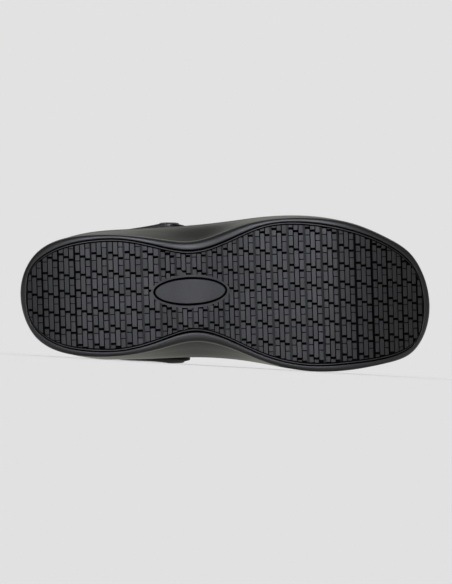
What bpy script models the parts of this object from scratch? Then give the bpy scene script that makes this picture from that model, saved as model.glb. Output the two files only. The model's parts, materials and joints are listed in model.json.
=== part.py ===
"""A slingback work clog: a moulded foam upper, a rubber tread insert, an insole and a riveted heel strap.

The shoe is modelled standing: x runs from heel to toe, y to the medial side and z up, with the ground
under the tread at z = 0. It is a right shoe. At the end it is laid on its medial side, the way it rests.
"""
from collections import namedtuple
from math import cos, pi, radians, sin, sqrt

import bmesh
import bpy
import numpy as np
from mathutils import Matrix, Vector
from mathutils.geometry import delaunay_2d_cdt, intersect_ray_tri

MM = 0.001

# Driving sizes, in millimetres
LENGTH = 290.0
WALL = 3.4
SEAT_GAP = 0.3
SAMPLES_PER_SECTION = 3

# The ground line of the sole: heel bevel, arch and toe spring
HEEL_BEVEL_END = 50.0
HEEL_BEVEL_RISE = 5.5
ARCH_START = 86.0
ARCH_TOP = 121.0
ARCH_END = 163.0
ARCH_RISE = 2.5
SPRING_START = 214.0
SPRING_RISE = 17.0
SPRING_POWER = 1.7

# Outlines of the sole, each row a section across the shoe: half widths of the tread insert, of the rim
# around it and of the body at its widest, the height of that widest line and of the floor inside
Section = namedtuple(
    "Section",
    "x tread_medial tread_lateral rim_medial rim_lateral body_medial body_lateral body_z floor_z",
)
SECTIONS = (
    Section(9.0, 22.4, 17.8, 28.7, 24.0, 29.0, 24.3, 24.0, 22.5),
    Section(26.0, 36.5, 30.3, 41.1, 35.9, 41.5, 36.3, 23.0, 22.0),
    Section(50.0, 41.5, 36.3, 45.2, 40.2, 47.2, 42.6, 22.0, 21.5),
    Section(74.0, 41.1, 36.9, 44.6, 40.1, 48.1, 44.5, 23.0, 21.5),
    Section(100.0, 34.1, 31.8, 40.0, 37.1, 47.4, 46.1, 26.0, 22.0),
    Section(124.0, 27.6, 29.3, 34.7, 35.9, 46.8, 47.9, 28.0, 21.5),
    Section(150.0, 35.0, 38.2, 40.4, 45.0, 48.1, 50.8, 26.0, 18.0),
    Section(174.0, 45.6, 47.5, 49.7, 51.0, 51.5, 53.6, 21.0, 15.0),
    Section(204.0, 51.6, 48.5, 55.5, 52.3, 56.0, 53.8, 17.0, 14.0),
    Section(234.0, 50.0, 42.9, 54.4, 48.0, 54.7, 48.4, 18.0, 16.0),
    Section(260.0, 45.9, 32.4, 49.6, 37.2, 49.9, 37.6, 22.0, 20.5),
    Section(278.0, 36.6, 17.0, 41.6, 24.1, 41.9, 24.5, 27.0, 25.0),
)

# The collar edge that each section's side runs up to, and how the side gets there: lift is the share of
# its rise that starts out upright, reach and drop the shares of its run and rise that the end keeps level
CollarSection = namedtuple("CollarSection", "x medial lateral z lift reach drop")
COLLAR = (
    CollarSection(15.0, 25.0, 22.0, 63.0, 0.40, 0.50, 0.40),
    CollarSection(29.0, 35.5, 32.0, 61.0, 0.40, 0.50, 0.40),
    CollarSection(51.0, 42.5, 39.1, 60.5, 0.40, 0.50, 0.40),
    CollarSection(73.0, 45.8, 42.2, 66.0, 0.40, 0.50, 0.40),
    CollarSection(95.0, 47.0, 42.6, 82.0, 0.40, 0.50, 0.38),
    CollarSection(113.0, 46.4, 42.6, 92.5, 0.40, 0.50, 0.34),
    CollarSection(126.5, 42.5, 40.4, 97.5, 0.40, 0.50, 0.30),
    CollarSection(137.0, 36.0, 34.0, 100.5, 0.40, 0.50, 0.30),
    CollarSection(144.5, 28.0, 25.0, 102.5, 0.40, 0.53, 0.31),
    CollarSection(149.0, 19.5, 15.5, 104.0, 0.41, 0.57, 0.36),
    CollarSection(151.5, 12.5, 8.0, 104.6, 0.42, 0.60, 0.41),
    CollarSection(152.6, 7.5, 2.5, 104.9, 0.43, 0.62, 0.44),
)

# The two ends of each outline: x, and how far it lies to the medial side
Tip = namedtuple("Tip", "x medial")
HEEL_TIPS = {
    "tread": Tip(5.6, 0.5),
    "rim": Tip(0.5, 0.5),
    "body": Tip(0.0, 0.5),
    "collar": Tip(8.0, 0.5),
}
TOE_TIPS = {
    "tread": Tip(284.6, 12.0),
    "rim": Tip(289.6, 11.5),
    "body": Tip(LENGTH, 11.5),
    "collar": Tip(153.0, 2.5),
}
EndShape = namedtuple("EndShape", "body_z floor_z collar_z lift reach drop")
HEEL_END = EndShape(24.0, 23.0, 64.0, 0.40, 0.50, 0.40)
TOE_END = EndShape(30.0, 28.0, 105.0, 0.43, 0.63, 0.45)

# The rim and side of the sole, heights above the ground line
RIM_LIFT = 1.5
RECESS_ROOF = 5.8
# Each row of the rim's edge: share of the way from tread to rim, height
RIM_PROFILE = ((0.0, RIM_LIFT), (0.55, RIM_LIFT), (0.88, 2.4), (1.0, 4.6), (1.0, 7.0))
CREASE_DEPTH = 1.2
CREASE_HEIGHT = 8.0
FLARE_STEPS = (0.24, 0.48, 0.74, 1.0)

# Steps up the outer side of the upper, from its widest line to the collar, and down its inner side
OUTER_STEPS = (0.12, 0.26, 0.4, 0.54, 0.68, 0.82, 0.93)
INNER_STEPS = (1.0, 0.85, 0.68, 0.5, 0.33, 0.16, 0.0)
BEAD_SWELL = 0.8
BEAD_STEP = 0.965
FLOOR_FILLET = 5.0
FLOOR_INSET = 4.0
FILLET_MIDDLE = 0.3
SIDE_SHARES = np.linspace(0, 1, 81)

# Tread insert
PLATE_TOP = 5.5
GROOVE_FLOOR = 2.5
LIP_HEIGHT = 0.4
LIP_WIDTH = 1.3
LUG_MARGIN = 0.6
TREAD_TURN = radians(2.1)
TREAD_CENTRE_X = 145.0
ROW_PITCH = 12.7
ROW_START = -31.4
ROW_COUNT = 11
FIRST_ROW = -3
ROW_GAP = 1.2
# How far one lug's ends run towards the medial side from its heel edge to its toe edge
LUG_SLANT = 5.9
SMALLEST_LUG = 5.0
PLAN_TOLERANCE = 0.05
WELD = 0.02
# Columns of lugs from heel to toe: how many, and their pitch, of which a lug fills a share
LUG_SHARE = 0.86
LugZone = namedtuple("LugZone", "columns pitch")
FIRST_LUG_EDGE = -140.0
LUG_ZONES = (
    LugZone(5, 11.6),
    LugZone(3, 12.0),
    LugZone(6, 11.0),
    LugZone(5, 12.0),
    LugZone(6, 10.8),
)

# The bare oval pad in the waist of the tread, and the ring around it
OVAL_X = 120.2
OVAL_ACROSS = -1.3
OVAL_LENGTH = 48.4
OVAL_WIDTH = 16.8
OVAL_RING_GAP = 1.6
OVAL_RING_WIDTH = 1.4
OVAL_POINTS = 36

# Insole
INSOLE_THICKNESS = 4.5
INSOLE_CUP = 2.0
INSOLE_CUP_WIDTH = 7.0
INSOLE_RIM = 1.2
# How far up its edge the insole leans out, and how far out as a share of the floor's fillet
INSOLE_LEAN_HEIGHT = 0.5 * INSOLE_THICKNESS
INSOLE_LEAN = 0.3

# Heel strap and its rivets
RIVET_X_MEDIAL = 107.0
RIVET_X_LATERAL = 103.0
RIVET_Z = 74.0
STRAP_WIDTH = 23.0
STRAP_THICKNESS = 3.0
STRAP_TIP_THICKNESS = 2.0
STRAP_EDGE = 0.8
# A low boss around each rivet, and how far along the strap it reaches
STRAP_BOSS = 1.0
STRAP_BOSS_REACH = 17.0
STRAP_STAND_OFF = 1.1
STRAP_STEPS = 42
STRAP_END_DROP = 1.8
STRAP_CLEARANCE = 2.0
CURVE_STEPS = 24
END_CROWDING = 0.6
# The strap's middle line from its rivets to its back: half widths and height
StrapSection = namedtuple("StrapSection", "x medial lateral z")
STRAP_BACK = (
    StrapSection(86.0, 49.6, 46.3, 77.0),
    StrapSection(60.0, 48.0, 42.4, 81.5),
    StrapSection(36.0, 43.0, 39.0, 86.0),
    StrapSection(17.0, 31.0, 28.0, 89.0),
    StrapSection(6.0, 14.5, 13.0, 90.5),
)
STRAP_BACK_TIP = (3.0, 0.5, 91.0)
RIVET_HEAD_RADIUS = 7.4
RIVET_HEAD_THICKNESS = 1.2
RIVET_POST_RADIUS = 3.2
RIVET_CAP_RADIUS = 6.4
RIVET_CAP_THICKNESS = 1.8
RIVET_SEGMENTS = 20
# Edges of the head and of the cap from rim to middle: shares of the radius and of the thickness
RIVET_HEAD_EDGE = ((1.0, 0.45), (0.84, 0.9), (0.5, 1.0))
RIVET_CAP_EDGE = ((1.0, 0.6), (0.8, 1.0))
CAP_CLEARANCE = 1.0

# A side of the hull counts as medial when it faces that way by this share
MEDIAL_SHARE = 0.8


def clear_scene():
    for old in list(bpy.data.objects):
        bpy.data.objects.remove(old, do_unlink=True)


def principled(name, colour, roughness):
    material = bpy.data.materials.new(name)
    material.use_nodes = True
    shader = material.node_tree.nodes["Principled BSDF"]
    shader.inputs["Base Color"].default_value = (*colour, 1.0)
    shader.inputs["Roughness"].default_value = roughness
    shader.inputs["Metallic"].default_value = 0.0
    return material


def ground(x):
    """Height of the tread's ground line at x: flat under the heel seat and the ball."""
    if x < HEEL_BEVEL_END:
        return HEEL_BEVEL_RISE * ((HEEL_BEVEL_END - x) / HEEL_BEVEL_END) ** 2
    if ARCH_START < x < ARCH_END:
        half = ARCH_TOP - ARCH_START if x < ARCH_TOP else ARCH_END - ARCH_TOP
        return ARCH_RISE * cos(pi / 2 * (x - ARCH_TOP) / half) ** 2
    if x > SPRING_START:
        return SPRING_RISE * ((x - SPRING_START) / (LENGTH - SPRING_START)) ** SPRING_POWER
    return 0.0


def grounds(xy):
    return np.array([ground(x) for x in xy[:, 0]])


def closed_spline(knots, values, at):
    """Periodic cubic spline through values at knots; the last knot closes it on the first value."""
    count = len(values)
    steps = np.diff(knots)
    before = np.roll(steps, 1)
    slopes = (np.roll(values, -1, axis=0) - values) / steps[:, None]
    matrix = np.zeros((count, count))
    for i in range(count):
        matrix[i, i - 1] += before[i]
        matrix[i, i] += 2 * (before[i] + steps[i])
        matrix[i, (i + 1) % count] += steps[i]
    bends = np.linalg.solve(matrix, 6 * (slopes - np.roll(slopes, 1, axis=0)))
    piece = np.clip(np.searchsorted(knots, at, side="right") - 1, 0, count - 1)
    after = (piece + 1) % count
    step = steps[piece][:, None]
    right = (at - knots[piece])[:, None]
    left = step - right
    return (
        (bends[piece] * left**3 + bends[after] * right**3) / (6 * step)
        + (values[piece] / step - bends[piece] * step / 6) * left
        + (values[after] / step - bends[after] * step / 6) * right
    )


def around(heel, lateral, toe, medial):
    """Rows in order round the shoe: heel tip, up the lateral side, toe tip, back down the medial side."""
    return np.array([heel, *lateral, toe, *reversed(medial)], dtype=float)


def outline_rows(name):
    lateral = [(s.x, -getattr(s, name + "_lateral")) for s in SECTIONS]
    medial = [(s.x, getattr(s, name + "_medial")) for s in SECTIONS]
    return around(HEEL_TIPS[name], lateral, TOE_TIPS[name], medial)


def height_rows(name):
    column = [[getattr(s, name)] for s in SECTIONS]
    return around([getattr(HEEL_END, name)], column, [getattr(TOE_END, name)], column)


def collar_rows():
    lateral = [(c.x, -c.lateral, c.z) for c in COLLAR]
    medial = [(c.x, c.medial, c.z) for c in COLLAR]
    heel = (*HEEL_TIPS["collar"], HEEL_END.collar_z)
    toe = (*TOE_TIPS["collar"], TOE_END.collar_z)
    return around(heel, lateral, toe, medial)


def handle_rows():
    column = [(c.lift, c.reach, c.drop) for c in COLLAR]
    return around(HEEL_END[3:], column, TOE_END[3:], column)


def section_knots():
    """Spline knots for the rows round the shoe, spaced like the body's outline."""
    body = outline_rows("body")
    chords = np.linalg.norm(np.roll(body, -1, axis=0) - body, axis=1)
    return np.concatenate([[0.0], np.cumsum(np.sqrt(chords))])


def sampled(rows):
    """Rows round the shoe, drawn as a smooth closed curve with the same samples between each two rows."""
    knots = section_knots()
    parts = [
        np.linspace(a, b, SAMPLES_PER_SECTION, endpoint=False) for a, b in zip(knots[:-1], knots[1:])
    ]
    return closed_spline(knots, rows, np.concatenate(parts))


def outward(xy):
    """Unit normals of a closed outline in plan, away from its inside."""
    along = np.roll(xy, -1, axis=0) - np.roll(xy, 1, axis=0)
    across = np.stack([along[:, 1], -along[:, 0]], axis=1)
    return across / np.linalg.norm(across, axis=1)[:, None]


def inset(xy, distance):
    return xy - outward(xy) * distance


def at_height(xy, z):
    """A loop of points in space from an outline and one height or a height for each point."""
    return np.column_stack([xy, np.broadcast_to(z, len(xy))])


def add_loops(mesh, loops):
    """Bands of faces between loops of equal count, each joined to the next."""
    rings = [[mesh.verts.new(Vector(point) * MM) for point in loop] for loop in loops]
    count = len(rings[0])
    for lower, upper in zip(rings[:-1], rings[1:]):
        for i in range(count):
            j = (i + 1) % count
            mesh.faces.new((lower[i], lower[j], upper[j], upper[i]))
    return rings


def add_rungs(mesh, ring):
    """Closes a loop round the shoe with faces from side to side."""
    count = len(ring)
    for i in range(count // 2):
        corners = [ring[i], ring[i + 1], ring[count - i - 1], ring[-i]]
        mesh.faces.new(list(dict.fromkeys(corners)))


def loft(name, loops, material):
    """A closed solid from loops round the shoe."""
    mesh = bmesh.new()
    rings = add_loops(mesh, loops)
    add_rungs(mesh, rings[0])
    add_rungs(mesh, rings[-1])
    return finish(name, mesh, material)


def finish(name, mesh, material):
    bmesh.ops.recalc_face_normals(mesh, faces=mesh.faces)
    data = bpy.data.meshes.new(name)
    mesh.to_mesh(data)
    mesh.free()
    thing = bpy.data.objects.new(name, data)
    bpy.context.collection.objects.link(thing)
    if material:
        data.materials.append(material)
    return thing


def cut(thing, tool):
    """Cuts with a tool object, which then stays behind as a hidden guide."""
    modifier = thing.modifiers.new(tool.name, "BOOLEAN")
    modifier.operation = "DIFFERENCE"
    modifier.solver = "EXACT"
    modifier.object = tool
    tool.hide_render = True
    tool.display_type = "WIRE"


class Sides:
    """The upper's outer side: a curve from each point of the widest line up to the collar edge."""

    def __init__(self):
        body = sampled(outline_rows("body"))
        self.foot = np.column_stack([body, sampled(height_rows("body_z"))])
        self.top = sampled(collar_rows())
        handles = sampled(handle_rows())
        rise = self.top[:, 2] - self.foot[:, 2]
        self.foot_handle = self.foot.copy()
        self.foot_handle[:, 2] += handles[:, 0] * rise
        self.top_handle = self.top + handles[:, 1:2] * (self.foot - self.top)
        self.top_handle[:, 2] = self.top[:, 2] - handles[:, 2] * rise

    def at(self, step):
        """Points a share of the way up, the same for all or one for each curve."""
        t = np.broadcast_to(step, len(self.foot))[:, None]
        s = 1 - t
        ends = s**3 * self.foot + t**3 * self.top
        return ends + 3 * s**2 * t * self.foot_handle + 3 * s * t**2 * self.top_handle

    def rising(self, step):
        t = np.broadcast_to(step, len(self.foot))[:, None]
        s = 1 - t
        way = s**2 * (self.foot_handle - self.foot) + 2 * s * t * (self.top_handle - self.foot_handle)
        way = way + t**2 * (self.top - self.top_handle)
        return way / np.linalg.norm(way, axis=1)[:, None]

    def normal(self, step):
        points = self.at(step)
        along = np.roll(points, -1, axis=0) - np.roll(points, 1, axis=0)
        across = np.cross(along, self.rising(step))
        return across / np.linalg.norm(across, axis=1)[:, None]

    def step_at_height(self, heights):
        """For each curve, the share of the way up where it first reaches its height."""
        levels = np.array([self.at(share)[:, 2] for share in SIDE_SHARES])
        return np.array([np.interp(h, levels[:, i], SIDE_SHARES) for i, h in enumerate(heights)])

    def wall_range(self, x, z, radius, side):
        """How far out the wall stands, least and most, within a radius of a place on one side."""
        points = np.concatenate([self.at(share) for share in SIDE_SHARES])
        near = np.hypot(points[:, 0] - x, points[:, 2] - z) < radius
        out = points[near & (points[:, 1] * side > 0), 1] * side
        return out.min(), out.max()


def upper_loops(sides):
    """Loops of the moulded body, from the recess under it, round its rim, over it and down its inside."""
    tread = sampled(outline_rows("tread"))
    rim = sampled(outline_rows("rim"))
    loops = [at_height(tread, grounds(tread) + RECESS_ROOF)]
    for share, height in RIM_PROFILE:
        edge = tread + (rim - tread) * share
        loops.append(at_height(edge, grounds(edge) + height))
    crease = at_height(inset(rim, CREASE_DEPTH), grounds(rim) + CREASE_HEIGHT)
    loops.append(crease)
    for share in FLARE_STEPS:
        # A cove: upright from the crease, then out, and upright again at the widest line
        out = share**2 * (3 - 2 * share)
        loops.append(crease + (sides.foot - crease) * [out, out, share])
    loops += [sides.at(step) for step in OUTER_STEPS]
    loops.append(sides.at(BEAD_STEP) + sides.normal(BEAD_STEP) * BEAD_SWELL)
    normal = sides.normal(1.0)
    loops.append(sides.at(1.0) + normal * BEAD_SWELL)
    loops.append(sides.at(1.0) - normal * WALL / 2 + sides.rising(1.0) * WALL / 3)
    floor_z = sampled(height_rows("floor_z"))[:, 0]
    lowest = sides.step_at_height(floor_z + FLOOR_FILLET)
    for step in INNER_STEPS:
        share = lowest + (1 - lowest) * step
        loops.append(sides.at(share) - sides.normal(share) * WALL)
    low = loops[-1]
    middle = inset(low[:, :2], FLOOR_INSET * FILLET_MIDDLE)
    loops.append(at_height(middle, floor_z + FLOOR_FILLET * FILLET_MIDDLE))
    loops.append(at_height(inset(low[:, :2], FLOOR_INSET), floor_z))
    return loops


def insole_loops(floor, low):
    """A footbed that lies on the floor with a low cup round its edge."""
    edge = inset(floor[:, :2], SEAT_GAP)
    top = edge + (low[:, :2] - floor[:, :2]) * INSOLE_LEAN
    bed = inset(edge, INSOLE_CUP_WIDTH)
    return [
        at_height(edge, floor[:, 2] + SEAT_GAP),
        at_height(top, floor[:, 2] + SEAT_GAP + INSOLE_LEAN_HEIGHT),
        at_height(top, floor[:, 2] + INSOLE_THICKNESS + INSOLE_CUP),
        at_height(inset(edge, INSOLE_RIM), floor[:, 2] + INSOLE_THICKNESS + INSOLE_CUP),
        at_height(bed, floor[:, 2] + INSOLE_THICKNESS),
    ]


def tread_point(along, across):
    """Plan position of a place in the tread's own turned grid."""
    x = TREAD_CENTRE_X + along * cos(TREAD_TURN) + across * sin(TREAD_TURN)
    y = across * cos(TREAD_TURN) - along * sin(TREAD_TURN)
    return np.array([x, y])


def lug_columns():
    edge = FIRST_LUG_EDGE
    for zone in LUG_ZONES:
        for _ in range(zone.columns):
            yield edge, zone.pitch * LUG_SHARE
            edge += zone.pitch


def lug_corners(edge, width, row):
    """A lug's corners: a block across the tread's grid whose ends are slanted like its neighbours'."""
    near = ROW_START + ROW_PITCH * row + ROW_GAP / 2
    far = near + ROW_PITCH - ROW_GAP
    corners = [(0, near), (width, near + LUG_SLANT), (width, far + LUG_SLANT), (0, far)]
    return np.array([tread_point(edge + along, across) for along, across in corners])


def oval(grow):
    """The oval pad's outline, grown outwards, in the tread's own grid."""
    turns = np.arange(OVAL_POINTS) * 2 * pi / OVAL_POINTS
    start = OVAL_X - TREAD_CENTRE_X
    length = OVAL_LENGTH / 2 + grow
    width = OVAL_WIDTH / 2 + grow
    return np.array([tread_point(start + length * cos(a), OVAL_ACROSS + width * sin(a)) for a in turns])


def clipped(outline, corners):
    """The part of an outline inside a convex shape, both running the same way round."""
    kept = list(outline)
    for start, end in zip(corners, np.roll(corners, -1, axis=0)):
        edge = end - start
        inner = [edge[0] * (p[1] - start[1]) - edge[1] * (p[0] - start[0]) for p in kept]
        result = []
        for i, point in enumerate(kept):
            if (inner[i] >= 0) != (inner[i - 1] >= 0):
                share = inner[i - 1] / (inner[i - 1] - inner[i])
                result.append(kept[i - 1] + (point - kept[i - 1]) * share)
            if inner[i] >= 0:
                result.append(point)
        kept = result
    return np.array(kept)


def area(outline):
    x, y = outline[:, 0], outline[:, 1]
    return abs(np.dot(x, np.roll(y, -1)) - np.dot(y, np.roll(x, -1))) / 2


def tread_regions(lip):
    """Plan outlines that cut up the tread: its edge, the oval's rings and each lug in the field."""
    ring = OVAL_RING_GAP + OVAL_RING_WIDTH
    regions = [
        ("edge", lip),
        ("clearance", oval(ring + LUG_MARGIN)),
        ("ring", oval(ring)),
        ("ring_gap", oval(OVAL_RING_GAP)),
        ("pad", oval(0.0)),
    ]
    field = inset(lip, LUG_MARGIN)
    for edge, width in lug_columns():
        for row in range(FIRST_ROW, FIRST_ROW + ROW_COUNT):
            lug = clipped(field, lug_corners(edge, width, row))
            if len(lug) > 2 and area(lug) > SMALLEST_LUG:
                regions.append(("lug", lug))
    return regions


def is_raised(names):
    """Whether a place in the tread is a block: a lug clear of the oval, the oval's ring or its pad."""
    if "clearance" in names:
        return "pad" in names or ("ring" in names and "ring_gap" not in names)
    return "lug" in names


def tread_triangles(lip):
    """Plan triangles of the tread, and for each whether it is raised into a block."""
    regions = tread_regions(lip)
    points, loops = [], []
    for _, outline in regions:
        loops.append(list(range(len(points), len(points) + len(outline))))
        points += [Vector(p) for p in outline]
    inside_only = 1
    plan, _, triangles, _, _, sources = delaunay_2d_cdt(points, [], loops, inside_only, PLAN_TOLERANCE)
    raised = [is_raised({regions[i][0] for i in source}) for source in sources]
    return plan, list(zip(triangles, raised))


def add_tread(mesh, lip):
    """The relief of the tread: blocks on the ground line, grooves between them and the walls of both."""
    plan, triangles = tread_triangles(lip)
    levels = {True: {}, False: {}}

    def corner(index, raised):
        if index not in levels[raised]:
            x, y = plan[index]
            z = ground(x) + (0.0 if raised else GROOVE_FLOOR)
            levels[raised][index] = mesh.verts.new(Vector((x, y, z)) * MM)
        return levels[raised][index]

    block_edges, groove_edges = set(), set()
    for corners, raised in triangles:
        mesh.faces.new([corner(i, raised) for i in corners])
        sides_of = zip(corners, corners[1:] + corners[:1])
        (block_edges if raised else groove_edges).update(frozenset(pair) for pair in sides_of)
    for first, second in (tuple(pair) for pair in block_edges & groove_edges):
        mesh.faces.new(
            (corner(first, True), corner(second, True), corner(second, False), corner(first, False))
        )


def make_outsole(material):
    """The tread insert: a plate with a raised lip round its underside and the tread inside the lip."""
    edge = inset(sampled(outline_rows("tread")), SEAT_GAP)
    lip = inset(edge, LIP_WIDTH)
    mesh = bmesh.new()
    loops = [
        at_height(edge, grounds(edge) + PLATE_TOP),
        at_height(edge, grounds(edge) + LIP_HEIGHT),
        at_height(lip, grounds(lip) + LIP_HEIGHT),
        at_height(lip, grounds(lip) + GROOVE_FLOOR),
    ]
    rings = add_loops(mesh, loops)
    add_rungs(mesh, rings[0])
    add_tread(mesh, lip)
    bmesh.ops.remove_doubles(mesh, verts=mesh.verts, dist=WELD * MM)
    return finish("outsole", mesh, material)


def strap_line(sides):
    """The strap's middle line: heel-side rows, with its ends lying flat beside the upper."""
    halves = []
    for side, name in ((1, "medial"), (-1, "lateral")):
        end = side * (rivet_places(sides, side)[0] + STRAP_THICKNESS / 2)
        x = rivet_x(side)
        half = [(x + STRAP_WIDTH / 2, end, RIVET_Z - STRAP_END_DROP), (x, end, RIVET_Z)]
        halves.append(half + [(row.x, side * getattr(row, name), row.z) for row in STRAP_BACK])
    return np.array([*halves[0], STRAP_BACK_TIP, *reversed(halves[1])])


def open_curve(rows, count):
    """Points along a smooth line through rows, how far along each lies, and the whole run."""
    data = np.vstack([2 * rows[0] - rows[1], rows, 2 * rows[-1] - rows[-2]])
    fine = []
    for a, b, c, d in zip(data[:-3], data[1:-2], data[2:-1], data[3:]):
        for t in np.linspace(0, 1, CURVE_STEPS, endpoint=False):
            bend = (2 * a - 5 * b + 4 * c - d) * t**2 + (3 * b - a - 3 * c + d) * t**3
            fine.append(b + ((c - a) * t + bend) / 2)
    fine = np.array([*fine, rows[-1]])
    run = np.concatenate([[0], np.cumsum(np.linalg.norm(np.diff(fine, axis=0), axis=1))])
    # Closer steps near the round ends
    even = np.linspace(0, 1, count)
    places = run[-1] * (even - np.sin(2 * pi * even) / (2 * pi) * END_CROWDING)
    return np.column_stack([np.interp(places, run, fine[:, k]) for k in range(3)]), places, run[-1]


def make_strap(sides, material):
    line, places, total = open_curve(strap_line(sides), STRAP_STEPS)
    radius = STRAP_WIDTH / 2
    mesh = bmesh.new()
    rings = []
    for i in range(STRAP_STEPS):
        ahead = line[min(i + 1, STRAP_STEPS - 1)] - line[max(i - 1, 0)]
        ahead = Vector(ahead).normalized()
        out = ahead.cross(Vector((0, 0, 1))).normalized()
        up = out.cross(ahead).normalized()
        from_end = min(places[i], total - places[i])
        short = max(0.0, radius - from_end)
        half = max(sqrt(radius**2 - short**2), STRAP_EDGE * 2)
        thick = STRAP_THICKNESS / 2
        taper = (STRAP_THICKNESS - STRAP_TIP_THICKNESS) * (short / radius) ** 2
        reach = min(abs(from_end - radius) / STRAP_BOSS_REACH, 1.0)
        swell = STRAP_BOSS * cos(pi / 2 * reach) ** 2 - taper
        quarter = [(half, thick - STRAP_EDGE), (half - STRAP_EDGE, thick)]
        face = quarter + [(-u, o) for u, o in reversed(quarter)]
        profile = [(u, o + swell) for u, o in face] + [(u, -o) for u, o in reversed(face)]
        rings.append([line[i] + np.array(up * u + out * o) for u, o in profile])
    rings = add_loops(mesh, rings)
    mesh.faces.new(rings[0])
    mesh.faces.new(rings[-1])
    return finish("heel_strap", mesh, material)


def rivet_x(side):
    return RIVET_X_MEDIAL if side > 0 else RIVET_X_LATERAL


def turned(name, profile, side, start, material):
    """A round piece on a rivet's axis: radius and distance outwards from a start, turned round the axis."""
    mesh = bmesh.new()
    rings = []
    for radius, distance in profile:
        y = side * (start + distance)
        turns = [2 * pi * k / RIVET_SEGMENTS for k in range(RIVET_SEGMENTS)]
        rings.append([(rivet_x(side) + radius * cos(a), y, RIVET_Z + radius * sin(a)) for a in turns])
    rings = add_loops(mesh, rings)
    mesh.faces.new(rings[0])
    mesh.faces.new(rings[-1])
    return finish(name, mesh, material)


def rivet_places(sides, side):
    """Where a rivet's strap side and its inner wall lie, as distances out from the shoe's middle."""
    x = rivet_x(side)
    wall = sides.wall_range(x, RIVET_Z, STRAP_WIDTH / 2 + STRAP_CLEARANCE, side)[1]
    inner = sides.wall_range(x, RIVET_Z, RIVET_CAP_RADIUS + CAP_CLEARANCE, side)[0]
    return wall + STRAP_STAND_OFF, inner - WALL - SEAT_GAP


def make_rivet(sides, name, side, material):
    """A low domed head on a post that goes in through strap and wall to its cap."""
    strap_inside, cap_outside = rivet_places(sides, side)
    start = strap_inside + STRAP_THICKNESS + SEAT_GAP
    post_end = cap_outside - RIVET_CAP_THICKNESS / 2 - start
    profile = [(RIVET_POST_RADIUS, post_end), (RIVET_POST_RADIUS, 0.0), (RIVET_HEAD_RADIUS, 0.0)]
    profile += [(RIVET_HEAD_RADIUS * r, RIVET_HEAD_THICKNESS * t) for r, t in RIVET_HEAD_EDGE]
    return turned("rivet_" + name, profile, side, start, material)


def make_rivet_cap(sides, name, side, material):
    """A round cap inside the upper, hollow where it takes the end of the post."""
    cap_outside = rivet_places(sides, side)[1]
    hole = RIVET_POST_RADIUS + SEAT_GAP
    depth = RIVET_CAP_THICKNESS / 2 + SEAT_GAP
    profile = [(hole, -depth), (hole, 0.0), (RIVET_CAP_RADIUS, 0.0)]
    profile += [(RIVET_CAP_RADIUS * r, -RIVET_CAP_THICKNESS * t) for r, t in RIVET_CAP_EDGE]
    return turned("rivet_cap_" + name, profile, side, cap_outside, material)


def make_rivet_hole(sides, name, side):
    """The hole for a rivet's post, with a seat for its head in the strap's boss."""
    strap_inside, cap_outside = rivet_places(sides, side)
    radius = RIVET_POST_RADIUS + SEAT_GAP
    seat = RIVET_HEAD_RADIUS + SEAT_GAP
    profile = [(radius, cap_outside - strap_inside - WALL), (radius, STRAP_THICKNESS)]
    profile += [(seat, STRAP_THICKNESS), (seat, 2 * STRAP_THICKNESS)]
    return turned("rivet_hole_" + name, profile, side, strap_inside, None)


def built_mesh(thing):
    """Corner points and triangles of an object as its modifiers leave it."""
    shape = thing.evaluated_get(bpy.context.evaluated_depsgraph_get())
    data = shape.to_mesh()
    data.calc_loop_triangles()
    points = np.array([corner.co for corner in data.vertices])
    triangles = np.array([tuple(tri.vertices) for tri in data.loop_triangles])
    shape.to_mesh_clear()
    return points, triangles


def middle_of(meshes):
    """Centre of the volume of closed meshes."""
    volume = 0.0
    moment = np.zeros(3)
    for points, triangles in meshes:
        a, b, c = (points[triangles[:, k]] for k in range(3))
        wedges = np.einsum("ij,ij->i", a, np.cross(b, c)) / 6
        volume += wedges.sum()
        moment += ((a + b + c) / 4 * wedges[:, None]).sum(axis=0)
    return moment / volume


def resting_normal(points, middle):
    """Outward normal of the medial side of the hull that the middle lies over."""
    hull = bmesh.new()
    for point in points:
        hull.verts.new(point)
    bmesh.ops.convex_hull(hull, input=hull.verts)
    for face in hull.faces:
        if len(face.verts) == 3 and face.normal.y > MEDIAL_SHARE:
            corners = [corner.co for corner in face.verts]
            if intersect_ray_tri(*corners, face.normal, Vector(middle), True):
                normal = face.normal.copy()
                hull.free()
                return normal
    raise ValueError("the shoe doesn't rest on its medial side")


def rest_on_medial_side(things):
    """Lays the standing shoe on the floor, toe along x, with the middle of its box over the origin."""
    bpy.context.view_layer.update()
    meshes = [built_mesh(thing) for thing in things]
    points = np.concatenate([corners for corners, _ in meshes])
    down = resting_normal(points, middle_of(meshes))
    toe = Vector((1, 0, 0))
    toe = (toe - down * toe.dot(down)).normalized()
    turn = Matrix((toe, toe.cross(down), -down))
    turned_points = points @ np.array(turn).T
    low, high = turned_points.min(axis=0), turned_points.max(axis=0)
    place = Vector((-(low[0] + high[0]) / 2, -(low[1] + high[1]) / 2, -low[2]))
    parent = bpy.data.objects.new("lying_shoe", None)
    for thing in bpy.context.collection.objects:
        thing.parent = parent
    bpy.context.collection.objects.link(parent)
    parent.matrix_world = Matrix.Translation(place) @ turn.to_4x4()


clear_scene()
foam = principled("moulded_foam", (0.018, 0.019, 0.021), 0.5)
strap_foam = principled("strap_foam", (0.018, 0.019, 0.021), 0.45)
rubber = principled("tread_rubber", (0.03, 0.03, 0.032), 0.6)
footbed = principled("insole_foam", (0.02, 0.02, 0.022), 0.8)
plastic = principled("rivet_plastic", (0.015, 0.015, 0.016), 0.35)

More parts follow.
